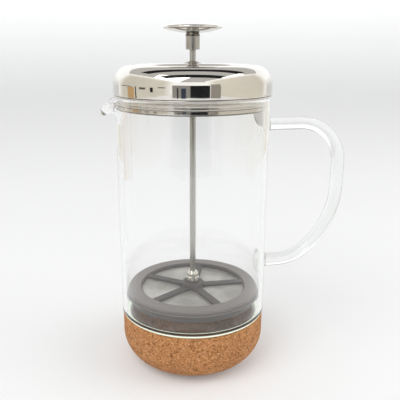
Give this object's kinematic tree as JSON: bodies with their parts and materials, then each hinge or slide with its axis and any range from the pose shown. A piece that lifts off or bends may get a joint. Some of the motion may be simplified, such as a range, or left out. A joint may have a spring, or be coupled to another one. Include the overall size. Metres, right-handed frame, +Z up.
{
  "type": "french press",
  "caption": "Glass beaker with a fused glass handle in a cork cup, with a domed steel lid, a plunger rod with a disc knob and a spoked filter.",
  "frame": {"origin": "centre of the cork cup's underside, on the axis of the rod", "axes": "+Z up along the rod, +X towards the handle, -X towards the spout"},
  "size_m": [0.1671, 0.102, 0.2303],
  "materials": {
    "cork": "fine pressed cork granules with dark specks, matt",
    "glass": "clear borosilicate glass, fire polished",
    "chrome": "mirror-polished plated steel",
    "satin_steel": "satin stainless steel",
    "dark_steel": "dark polished steel",
    "grey_plastic": "warm grey moulded plastic, fine matt",
    "lip_plastic": "flexible warm grey seal",
    "mesh": "fine woven filter mesh"
  },
  "bodies": {
    "base": {"cork_base": "cork"},
    "beaker": {"glass_beaker": "glass", "glass_handle": "glass"},
    "bush": {"lid_bush": "chrome", "bush_nut": "satin_steel"},
    "lid": {"lid_dome": "chrome", "lid_collar": "chrome", "lid_insert": "satin_steel"},
    "plunger": {"plunger_rod": "chrome", "knob_disc": "chrome", "knob_neck": "dark_steel", "knob_sleeve": "satin_steel", "hub_nut": "chrome"},
    "filter": {"filter_spider": "grey_plastic", "filter_lip": "lip_plastic", "mesh_screen": "mesh", "filter_base": "grey_plastic", "hub_insert": "satin_steel"}
  },
  "joints": [
    {"name": "beaker_lift", "type": "slide", "parent": "base", "child": "beaker", "axis": [0, 0, 1], "range_m": [0, 0.05]},
    {"name": "lid_lift", "type": "slide", "parent": "beaker", "child": "bush", "axis": [0, 0, 1], "range_m": [0, 0.16]},
    {"name": "lid_turn", "type": "hinge", "parent": "bush", "child": "lid", "pos_m": [0, 0, 0.19], "axis": [0, 0, 1], "continuous": true},
    {"name": "plunge", "type": "slide", "parent": "bush", "child": "plunger", "axis": [0, 0, 1], "range_m": [-0.0055, 0.11]},
    {"name": "filter_turn", "type": "hinge", "parent": "plunger", "child": "filter", "pos_m": [0, 0, 0.05], "axis": [0, 0, 1], "continuous": true}
  ]
}
